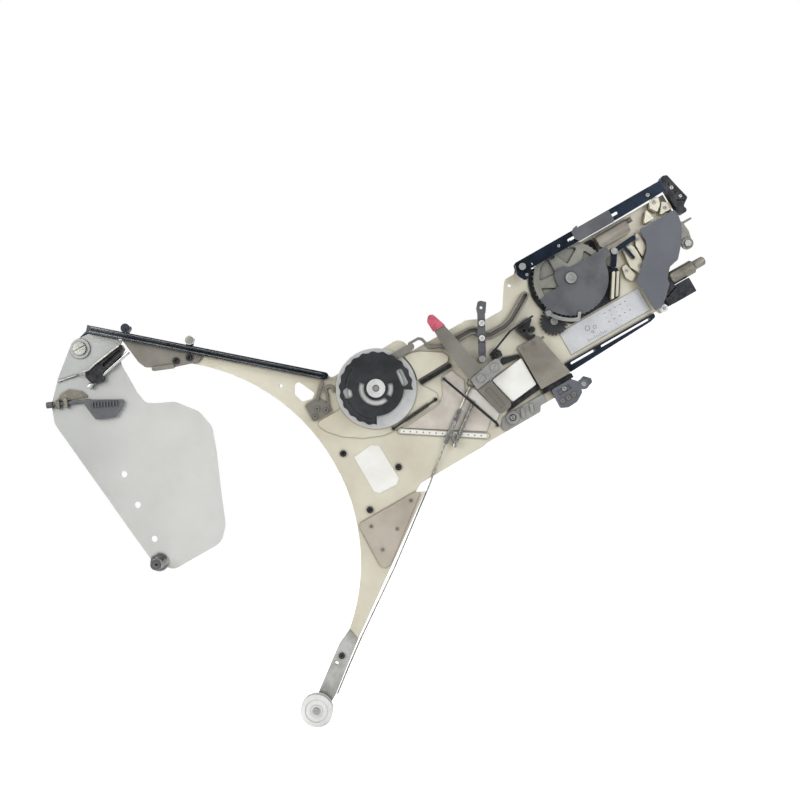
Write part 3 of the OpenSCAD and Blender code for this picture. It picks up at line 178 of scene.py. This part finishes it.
finishes = {
    # Electroless nickel on milled aluminium: a warm ivory sheen with hardly any blotch, hair-fine lay
    # along the plate
    "nickelPlate": {"light": "#E3DECB", "dark": "#D0C9B4", "metallic": 0.5, "roughness": 0.45,
                    "mottle": 70, "grain": (0.35, 9.0), "height": 0.02, "edgeWearAndHighlight": "#FAF8F0",
                    "slot": "nickel_plate"},
    # The same plating on the small covers, rubbed whiter
    "whitePlate": {"light": "#F7F6F0", "dark": "#ECEAE2", "metallic": 0.3, "roughness": 0.4,
                   "mottle": 25, "grain": (0.3, 5.0), "height": 0.02, "edgeWearAndHighlight": "#FFFFFF",
                   "slot": "nickel_plate"},
    # Rolled stainless sheet: cool grey, rolling lines too fine to show, so drawn a little wide; its dark and
    # light tones also carry a painted sheen across the sheet
    "rolledSheet": {"light": "#DFDFDA", "dark": "#9A9D9F", "metallic": 0.5, "roughness": 0.42,
                    "paintedSheen": ((0.62, -0.79), (-60, 120)), "mottle": 90, "grain": (0.4, 30.0), "turn": 84,
                    "height": 0.015, "edgeWearAndHighlight": "#F4F5F5", "slot": "satin_steel"},
    # Ground steel: mid grey with crossing wipe marks
    "groundSteel": {"light": "#C9C9C4", "dark": "#A3A39E", "metallic": 0.8, "roughness": 0.3,
                    "mottle": 20, "grain": (0.25, 9.0), "height": 0.02, "edgeWearAndHighlight": "#F0F0EC",
                    "slot": "satin_steel"},
    # Polished carbon steel: sharp reflections, with a few fine wipe marks
    "polishedSteel": {"light": "#D2D2D0", "dark": "#AAABAC", "metallic": 1.0, "roughness": 0.14,
                      "mottle": 25, "grain": (0.25, 9.0), "turn": 20, "height": 0.01, "edgeWearAndHighlight": "#FFFFFF",
                      "slot": "polished_steel"},
    # Steel bar, oiled and dark: mirror-like with a blue cast
    "oiledSteel": {"light": "#6B7178", "dark": "#343A44", "metallic": 0.95, "roughness": 0.2,
                   "mottle": 45, "grain": (0.25, 20.0), "turn": -41, "height": 0.01, "edgeWearAndHighlight": "#C9D2DA",
                   "slot": "polished_steel"},
    # Black oxide on steel: near black, its edges lightened brown-grey, partly rubbed by handling and partly
    # painted highlight
    "blackOxide": {"light": "#3E3F42", "dark": "#1E1F22", "metallic": 0.6, "roughness": 0.36,
                   "mottle": 6, "grain": (0.3, 1.0), "height": 0.04, "edgeWearAndHighlight": "#A5A39B",
                   "slot": "black_oxide"},
    # Bead-blasted tool steel: an even matt taupe with a fine sparkle
    "blastedSteel": {"light": "#8E8A82", "dark": "#7B776F", "metallic": 0.5, "roughness": 0.45,
                     "mottle": 30, "grain": (0.25, 1.0), "height": 0.03, "edgeWearAndHighlight": "#CFCCC5",
                     "slot": "grey_steel"},
    # Phosphated steel: dark matt grey, crystals too fine to show, so drawn coarser
    "phosphatedSteel": {"light": "#66676A", "dark": "#55565A", "metallic": 0.4, "roughness": 0.5,
                        "mottle": 18, "grain": (0.3, 1.0), "height": 0.03, "edgeWearAndHighlight": "#A9A9A6",
                        "slot": "grey_steel"},
    # Anodised aluminium, champagne dye: pale warm grey with a drawn grain
    "champagneAnodised": {"light": "#C4BBAC", "dark": "#B1A899", "metallic": 0.45, "roughness": 0.42,
                          "mottle": 40, "grain": (0.3, 8.0), "turn": -30, "height": 0.02, "edgeWearAndHighlight": "#EAE4DA",
                          "slot": "champagne"},
    # The same dye, darker and shinier, on the drawn tube of the spring barrel and the block cover
    "bronzeAnodised": {"light": "#A8A195", "dark": "#8E877C", "metallic": 0.6, "roughness": 0.32,
                       "mottle": 30, "grain": (0.3, 12.0), "height": 0.02, "edgeWearAndHighlight": "#E2DBCF",
                       "slot": "champagne"},
    # Slate enamel on steel: satin grey paint with a slight orange peel
    "slateEnamel": {"light": "#63656B", "dark": "#595B61", "metallic": 0.0, "roughness": 0.38,
                    "mottle": 40, "grain": (0.8, 1.0), "height": 0.03, "edgeWearAndHighlight": "#9B9DA0",
                    "slot": "slate_paint"},
    # Dark spring steel: black with a deep blue painted in as a reflection of blue surroundings, and a hard
    # gloss
    "steelPaintedBlueReflection": {"light": "#2B3646", "dark": "#171D28", "metallic": 0.6, "roughness": 0.24,
                   "mottle": 22, "grain": (0.25, 9.0), "height": 0.02, "edgeWearAndHighlight": "#93A2B5",
                   "slot": "blue_black"},
    # Moulded acetal: black, waxy, with a faint flow pattern
    "acetalBlack": {"light": "#36383B", "dark": "#242628", "metallic": 0.0, "roughness": 0.3,
                    "mottle": 14, "grain": (0.5, 1.0), "height": 0.03, "edgeWearAndHighlight": "#77797B",
                    "slot": "black_plastic"},
    # Dipped vinyl: soft red grip with a matt bloom, darker where it's thick
    "vinylGrip": {"light": "#CF6172", "dark": "#A9475A", "metallic": 0.0, "roughness": 0.5,
                  "mottle": 5, "grain": (0.8, 1.0), "height": 0.06, "edgeWearAndHighlight": "#E39AA6",
                  "slot": "red_plastic"},
    # Turned aluminium: bright and pale, faint rings from the tool
    "turnedAluminium": {"light": "#F0F0EE", "dark": "#DEDEDB", "metallic": 0.45, "roughness": 0.3,
                        "mottle": 18, "grain": (0.3, 1.0), "height": 0.008, "edgeWearAndHighlight": "#FFFFFF",
                        "slot": "turned_aluminium"},
    # Cold-rolled steel that has tinted slightly pink in handling
    "warmSteel": {"light": "#E0D9CE", "dark": "#CFC6BA", "metallic": 0.5, "roughness": 0.38,
                  "mottle": 14, "grain": (0.3, 6.0), "turn": -32, "height": 0.02, "edgeWearAndHighlight": "#F4EFEA",
                  "slot": "rose_steel"},
    # Sintered steel: a dense olive grey, slightly oily, its pores drawn a little coarse
    "sinteredSteel": {"light": "#9C9B91", "dark": "#84837A", "metallic": 0.5, "roughness": 0.38,
                      "mottle": 25, "grain": (0.35, 1.0), "height": 0.03, "edgeWearAndHighlight": "#D9D8CF",
                      "slot": "satin_steel"},
    # Dark oiled steel of the pin and its collar, olive where the oil has dried
    "olivePin": {"light": "#9A968A", "dark": "#7A766B", "metallic": 0.75, "roughness": 0.28,
                 "mottle": 12, "grain": (0.3, 1.0), "height": 0.02, "edgeWearAndHighlight": "#E6E3DA",
                 "slot": "polished_steel"},
    # Drawn spring wire: hard bright grey
    "springWire": {"light": "#B5B4AE", "dark": "#7C7B77", "metallic": 0.85, "roughness": 0.22,
                   "mottle": 3, "grain": (0.3, 1.0), "height": 0.02, "edgeWearAndHighlight": "#E9E9E6",
                   "slot": "grey_steel"},
    # Silvered foil of the scale plate, with a light satin brush
    "foilPlate": {"light": "#DADADA", "dark": "#CBCBCD", "metallic": 0.4, "roughness": 0.36,
                  "mottle": 20, "grain": (0.3, 14.0), "height": 0.01, "edgeWearAndHighlight": "#F6F6F6",
                  "slot": "satin_steel"},
    # Printing ink: flat dark grey-brown, a hair above the foil; the same ink is the painted shade in the tie's
    # holes
    "printAndHoleShadeInk": {"light": "#6A6361", "dark": "#4E4A4B", "metallic": 0.0, "roughness": 0.6,
                 "mottle": 4, "grain": (0.4, 1.0), "height": 0.01, "edgeWearAndHighlight": "#6A6361",
                 "slot": "black_plastic"},
}
pattern = {
    "tones": (0.36, 0.64),       # where the blotches turn from the dark tone to the light one
    "paintedSheenShare": 0.82,           # how much of a sheet's tone is its painted sheen, a slow change from dark to light
    "paintedSheenFrom": -0.45,           # where the painted sheen is counted from, in metres
    "grainShare": 0.1,
    "cornerShadeReach": 0.0022,        # how far the painted shade reaches out of a corner, in metres
    "cornerShadeOpen": (0.45, 0.95),   # openness of a corner that gets the full painted shade and of one that gets none
    "cornerShadeShare": 0.75,
    "cornerShadeColour": "#6A6052",
    "edgeRadius": 0.00045,       # how far an edge's rounding, rubbing and painted highlight reach, in metres
    "edgeTurn": (0.97, 0.80),    # cosines at which wear starts and is full
    "edgeShare": 0.6,
    "gloss": (-0.05, 0.07),      # spread of the roughness over the grain
    "relief": 0.3,
}


def makeFinish(name, look):
    material = bpy.data.materials.new(name)
    material.use_nodes = True
    tree = material.node_tree
    tree.nodes.clear()
    place = addNode(tree, "TexCoord")
    # one unit of the pattern is one millimetre
    turned = addNode(tree, "Mapping", {"Rotation": (0, math.radians(-look.get("turn", 0)), 0),
                                       "Scale": (1000, 1000, 1000)}, {"Vector": place.outputs["Object"]})
    blotch = addNode(tree, "TexNoise", {"Scale": 1 / look["mottle"], "Detail": 4.0, "Roughness": 0.6},
                     {"Vector": turned.outputs[0]})
    size, stretch = look["grain"]
    along = addNode(tree, "Mapping", {"Scale": (1 / (size * stretch), 1 / size, 1 / size)},
                    {"Vector": turned.outputs[0]})
    grain = addNode(tree, "TexNoise", {"Scale": 1.0, "Detail": 3.0, "Roughness": 0.55},
                    {"Vector": along.outputs[0]})
    share = blotch.outputs["Fac"]
    if "paintedSheen" in look:
        # painted sheen: a sheet's slow change from darker to lighter from one end to the other, with the
        # blotches over it
        (sideways, upward), (start, stop) = look["paintedSheen"]
        metre = addNode(tree, "VectorMath", {"operation": "DOT_PRODUCT", 1: (sideways, 0, upward)},
                        {0: place.outputs["Object"]})
        slope = addNode(tree, "MapRange", {1: start * 0.001 + pattern["paintedSheenFrom"],
                                           2: stop * 0.001 + pattern["paintedSheenFrom"],
                                              3: pattern["tones"][0], 4: pattern["tones"][1]},
                        {0: metre.outputs["Value"]})
        share = addNode(tree, "Mix", {"data_type": "FLOAT", 0: pattern["paintedSheenShare"]},
                        {2: share, 3: slope.outputs[0]}).outputs[0]
    tint = addNode(tree, "ValToRGB", links={0: share})
    setRamp(tint, (pattern["tones"][0], linear(look["dark"])), (pattern["tones"][1], linear(look["light"])))
    lined = addNode(tree, "Mix", {"data_type": "RGBA", "blend_type": "MULTIPLY", 0: pattern["grainShare"]},
                    {6: tint.outputs["Color"], 7: grain.outputs["Fac"]})
    # painted shade: corners and creases are darkened towards a brown by how closed in they are
    corner = addNode(tree, "AmbientOcclusion", {"samples": 6, "Distance": pattern["cornerShadeReach"]})
    cornerShade = addNode(tree, "MapRange", {1: pattern["cornerShadeOpen"][0], 2: pattern["cornerShadeOpen"][1],
                                      3: pattern["cornerShadeShare"], 4: 0.0}, {0: corner.outputs["AO"]})
    cornerShaded = addNode(tree, "Mix", {"data_type": "RGBA", "blend_type": "MULTIPLY",
                                  7: linear(pattern["cornerShadeColour"])},
                    {0: cornerShade.outputs[0], 6: lined.outputs[2]})
    # an edge shows where the rounded normal leaves the true one; there the colour lightens, partly rubbed metal
    # and partly painted highlight
    rounded = addNode(tree, "Bevel", {"samples": 4, "Radius": pattern["edgeRadius"]})
    true = addNode(tree, "NewGeometry")
    same = addNode(tree, "VectorMath", {"operation": "DOT_PRODUCT"},
                   {0: rounded.outputs[0], 1: true.outputs["Normal"]})
    edge = addNode(tree, "MapRange", {1: pattern["edgeTurn"][0], 2: pattern["edgeTurn"][1], 3: 0.0,
                                     4: pattern["edgeShare"]}, {0: same.outputs["Value"]})
    wornAndGlinting = addNode(tree, "Mix", {"data_type": "RGBA", 7: linear(look["edgeWearAndHighlight"])},
                   {0: edge.outputs[0], 6: cornerShaded.outputs[2]})
    gloss = addNode(tree, "MapRange", {1: 0.3, 2: 0.7, 3: look["roughness"] + pattern["gloss"][0],
                                      4: look["roughness"] + pattern["gloss"][1]},
                    {0: grain.outputs["Fac"]})
    relief = addNode(tree, "Bump", {"Strength": pattern["relief"], "Distance": look["height"] * 0.001},
                     {"Height": grain.outputs["Fac"], "Normal": rounded.outputs[0]})
    skin = addNode(tree, "BsdfPrincipled", {"Metallic": look["metallic"]},
                   {"Base Color": wornAndGlinting.outputs[2], "Roughness": gloss.outputs[0],
                    "Normal": relief.outputs[0]})
    addNode(tree, "OutputMaterial", links={"Surface": skin.outputs[0]})
    return material


made = {name: makeFinish(name, look) for name, look in finishes.items()}

nodeFinish = {
    "nickelPlate": ["main_plate", "lower_arm", "takeup_cover", "wedge_cover", "head_plates"],
    "whitePlate": ["polished_covers"],
    "champagneAnodised": ["splice_plate"],
    "bronzeAnodised": ["block_cover", "spring_barrel"],
    "rolledSheet": ["guard_plate"],
    "groundSteel": ["tail_arm", "check_pawl", "bottom_bracket", "axles", "pivot_pins", "lever_bracket"],
    "polishedSteel": ["reel_spindle", "latch_bolt"],
    "oiledSteel": ["top_rail", "hinge_lug"],
    "olivePin": ["locating_pin", "nose_latch", "brake_hinge"],
    "blackOxide": ["plate_screws", "latch_block", "takeup_link", "black_bars", "guide_brackets",
                   "nose_block",
                   "shutter_block", "head_housing", "foot_block"],
    "blastedSteel": ["end_bracket", "entry_guide", "tape_guide", "release_lever", "cover_screws"],
    "phosphatedSteel": ["drum_cover", "slider", "brake_pad", "strip_lever"],
    "turnedAluminium": ["tail_roller", "rail_roller", "takeup_core", "foot_roller"],
    "acetalBlack": ["takeup_flange", "pinion"],
    "warmSteel": ["sub_plate"],
    "vinylGrip": ["lever_grip"],
    "steelPaintedBlueReflection": ["bottom_rail", "top_guide", "feed_rocker"],
    "slateEnamel": ["nose_cover", "clamp_hook", "clamp_block"],
    "sinteredSteel": ["sprocket", "hub_gear"],
    "springWire": ["latch_spring", "pull_rods", "pull_wire"],
}
for finish, members in nodeFinish.items():
    for member in members:
        for holder in nodes[member].material_slots:
            holder.material = made[finish]
print("materials made:", len(made), "nodes without one:",
      sorted(set(nodes) - {m for ms in nodeFinish.values() for m in ms}))


def addPiece(name, mesh, finish, body, bevel=0.0):
    piece = bpy.data.objects.new(name, mesh)
    bpy.context.scene.collection.objects.link(piece)
    piece.data.materials.append(made[finish])
    if bevel:
        rounding = piece.modifiers.new("rounding", "BEVEL")
        rounding.width, rounding.segments, rounding.limit_method = bevel * 0.001, 2, "ANGLE"
    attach(piece, body)
    return piece


def toMesh(name, shape, smooth=False):
    mesh = bpy.data.meshes.new(name)
    bmesh.ops.recalc_face_normals(shape, faces=shape.faces)
    for face in shape.faces:
        face.smooth = smooth and len(face.verts) == 4
    shape.to_mesh(mesh)
    shape.free()
    return mesh


def extrude(shape, points, low, high):
    # a flat outline of the plan, from one height to another
    bottom = [shape.verts.new(spot(x, z, low)) for x, z in points]
    top = [shape.verts.new(spot(x, z, high)) for x, z in points]
    shape.faces.new(bottom)
    shape.faces.new(list(reversed(top)))
    for i in range(len(points)):
        j = (i + 1) % len(points)
        shape.faces.new((bottom[i], top[i], top[j], bottom[j]))


def circle(at, radius, steps=32, start=0.0, stop=360.0):
    closed = stop - start >= 360
    count = steps if closed else steps + 1
    return [(at[0] + radius * math.cos(math.radians(start + (stop - start) * i / steps)),
             at[1] + radius * math.sin(math.radians(start + (stop - start) * i / steps))) for i in range(count)]


def ringBand(shape, at, inner, outer, low, high, start=0.0, stop=360.0, steps=36):
    # a flat ring, whole or part
    rims = [circle(at, r, steps, start, stop) for r in (inner, outer)]
    rows = [[shape.verts.new(spot(x, z, h)) for x, z in rim]
            for rim, h in ((rims[0], low), (rims[1], low), (rims[1], high), (rims[0], high))]
    count, closed = len(rows[0]), stop - start >= 360
    for i in range(count if closed else count - 1):
        j = (i + 1) % count
        for k in range(4):
            a, b = rows[k], rows[(k + 1) % 4]
            shape.faces.new((a[i], a[j], b[j], b[i]))
    if not closed:
        for end in (0, -1):
            shape.faces.new([row[end] for row in rows])


def capScrew(shape, at, seat, radius, height):
    # a cap screw's head with a round socket
    rim = 0.18 * radius
    loops = []
    for r, h, sides in ((radius, seat, 24), (radius, seat + height - rim, 24), (radius - rim,
                                                                                seat + height, 24)):
        loops.append([shape.verts.new(spot(x, z, h)) for x, z in circle(at, r, sides)])
    for a, b in zip(loops, loops[1:]):
        for i in range(24):
            j = (i + 1) % 24
            shape.faces.new((a[i], a[j], b[j], b[i]))
    socket = [[shape.verts.new(spot(x, z, h)) for x, z in circle(at, radius * 0.52, 24)]
              for h in (seat + height, seat + height * 0.35)]
    for a, b in ((loops[-1], socket[0]), (socket[0], socket[1])):
        for i in range(24):
            j = (i + 1) % 24
            shape.faces.new((a[i], a[j], b[j], b[i]))
    shape.faces.new(socket[1])
    shape.faces.new(loops[0])


def bar(start, stop, width):
    # a bar with square ends
    d = Vector((stop[0] - start[0], stop[1] - start[1])).normalized() * width / 2
    return [(start[0] - d.y, start[1] + d.x), (start[0] + d.y, start[1] - d.x),
            (stop[0] + d.y, stop[1] - d.x), (stop[0] - d.y, stop[1] + d.x)]


def tube(name, points, radius, finish, body, cyclic=False):
    # a round wire through points of the plan with heights, turned into a mesh
    curve = bpy.data.curves.new(name, "CURVE")
    curve.dimensions, curve.bevel_depth, curve.bevel_resolution = "3D", radius * 0.001, 3
    line = curve.splines.new("POLY")
    line.points.add(len(points) - 1)
    for point, place in zip(line.points, points):
        point.co = (*spot(*place), 1)
    line.use_cyclic_u = cyclic
    curve.use_fill_caps = True
    holder = bpy.data.objects.new(name + "Curve", curve)
    bpy.context.scene.collection.objects.link(holder)
    mesh = bpy.data.meshes.new_from_object(holder.evaluated_get(bpy.context.evaluated_depsgraph_get()))
    mesh.name = name
    bpy.data.objects.remove(holder)
    for face in mesh.polygons:
        face.use_smooth = len(face.vertices) == 4
    mesh.materials.clear()
    return addPiece(name, mesh, finish, body)


def group(name, finish, body, draw, bevel=0.0, smooth=False):
    # one piece from what draw adds to an empty mesh
    shape = bmesh.new()
    draw(shape)
    return addPiece(name, toMesh(name, shape, smooth), finish, body, bevel)


# The silvered plate beside the nose, with plain dots, rings and ticks
scalePlate = {"outline": [(405, 1.0), (484, 1.0), (484, -20.6), (405, -20.6)], "thick": 0.8, "ink": 0.04,
              "dots": (447, -3.5, 5, 4, 5.2, 4.2), "dot": 0.55, "dotLong": 1.5, "ticks": 12,
              "tickFrom": 424,
              "tickStep": 1.6, "tickFoot": -18.5, "tickHead": -16.8, "tallHead": -15.4, "tickWidth": 0.3,
              "rings": ((428.5, -7.5, 2.2), (434.5, -9.5, 1.6), (431, -12.5, 1.2)), "ringWidth": 0.35}


def makeScalePlate(look):
    group("scalePlate", "foilPlate", "frame", lambda shape: extrude(shape, look["outline"], 0,
                                                                    look["thick"]), 0.25)
    top = look["thick"]

    def drawInk(shape):
        x0, z0, columns, rows, dx, dz = look["dots"]
        for i in range(columns):
            for k in range(rows):
                x, z = x0 + i * dx, z0 - k * dz
                extrude(shape, bar((x, z), (x + look["dotLong"] - k % 2, z), look["dot"]), top,
                        top + look["ink"])
        # a scale of plain ticks along the lower edge
        for i in range(look["ticks"]):
            x = look["tickFrom"] + i * look["tickStep"]
            head = look["tickHead"] if i % 4 else look["tallHead"]
            extrude(shape, bar((x, look["tickFoot"]), (x, head), look["tickWidth"]), top, top + look["ink"])
        for x, z, r in look["rings"]:
            ringBand(shape, (x, z), r - look["ringWidth"], r, top, top + look["ink"], steps=20)

    group("scalePrint", "printAndHoleShadeInk", "frame", drawInk)


makeScalePlate(scalePlate)
print("scale plate made")

# The pale panel, the perforated tie and the wire's lead on the main plate
plateTrim = {"panel": [(196.5, -4.5), (214.5, -2.5), (220.5, -6), (221.5, -40), (217, -43.5), (200, -42.5),
                       (196.8, -39)],
             "panelThick": 0.25, "tie": ((243, -4.6), (306, -45.5)), "tieWidth": 3.4, "tieSeat": 1.5,
             "tieTop": 1.75, "tieHoles": 13, "holeFrom": 3, "holeStep": 5.6, "holeRadius": 0.6,
             "holeTop": 1.8,
             "lead": [(272.6, -32.4, 3.6), (265, -38.4, 3.2), (257.4, -44.6, 2.5)], "leadRadius": 0.75}


def makePlateTrim(look):
    group("palePanel", "whitePlate", "frame", lambda shape: extrude(shape, look["panel"], 0,
                                                                    look["panelThick"]), 0.1)
    start, stop = Vector(look["tie"][0]), Vector(look["tie"][1])
    along = (stop - start).normalized()

    def drawTie(shape):
        extrude(shape, bar(tuple(start), tuple(stop), look["tieWidth"]), look["tieSeat"],
                look["tieTop"])

    # painted shade: the tie's holes are not cut, dark ink discs over them stand for the shade inside
    def drawHoleShade(shape):
        for i in range(look["tieHoles"]):
            at = start + along * (look["holeFrom"] + i * look["holeStep"])
            extrude(shape, circle(at, look["holeRadius"], 12), look["tieTop"], look["holeTop"])

    group("tieStrip", "whitePlate", "frame", drawTie, 0.08)
    group("tieHoleShade", "printAndHoleShadeInk", "frame", drawHoleShade)
    # the lead from the rods' fork down to the wire along the arm
    tube("wireLead", look["lead"], look["leadRadius"], "springWire", "frame")


makePlateTrim(plateTrim)

smallScrews = {
    # name: finish, body, list of (x, z, seat, radius, height)
    "bracketScrews": ("polishedSteel", "frame", [(333.5, -42.8, 2.2, 2.4, 0.9)]),
    "headScrews": ("groundSteel", "frame", [(492, 33, 5.6, 1.7, 0.9), (494, 17, 5.6, 1.7, 0.9),
                                            (503.5, 38, 5, 1.3, 0.7), (482, 19, 4, 1.3, 0.7),
                                            (530.5, 58.5, 9, 1.5, 0.7), (537, 50, 7, 1.4, 0.7)]),
    "stripDiscs": ("turnedAluminium", "strip", [(349.8, 41.6, 11, 2.6, 0.7), (343.6, 30.2, 11, 2.6, 0.7)]),
    "clampScrews": ("groundSteel", "frame", [(384, -42.8, 8, 2.1, 0.9)]),
    "guideScrews": ("groundSteel", "tape_arm", [(404, 58.6, 12, 1.3, 0.6), (528, 66.5, 12, 1.7, 0.8),
                                                (440, 66.5, 12, 1.3, 0.6)]),
    "shutterScrews": ("groundSteel", "tape_arm", [(549, 62, 12, 1.8, 0.8), (552, 52, 12, 1.5, 0.8)]),
    "drumScrew": ("turnedAluminium", "frame", [(436, 37.5, 9.4, 3.0, 0.6)]),
}


def makeScrews(sets):
    for name, (finish, body, places) in sets.items():
        def draw(shape):
            for x, z, seat, radius, height in places:
                capScrew(shape, (x, z), seat, radius, height)
        group(name, finish, body, draw)


makeScrews(smallScrews)
print("screws made")

# Painted highlights: two thin bright strips along the top rail's two edges
railHighlights = {"from": (53.5, 205.0), "to": (207.5, 70.9), "offset": 1.9, "width": 0.7, "seat": 8.0,
            "thick": 0.06}


def makeRailHighlights(look):
    start, stop = Vector(look["from"]), Vector(look["to"])
    along = (stop - start).normalized()
    side = Vector((-along.y, along.x)) * look["offset"]

    def drawHighlightLine(shape):
        for way in (1, -1):
            extrude(shape, bar(tuple(start + side * way), tuple(stop + side * way), look["width"]),
                    look["seat"], look["seat"] + look["thick"])

    group("railHighlightLines", "polishedSteel", "frame", drawHighlightLine)


makeRailHighlights(railHighlights)
print("rail trim made")
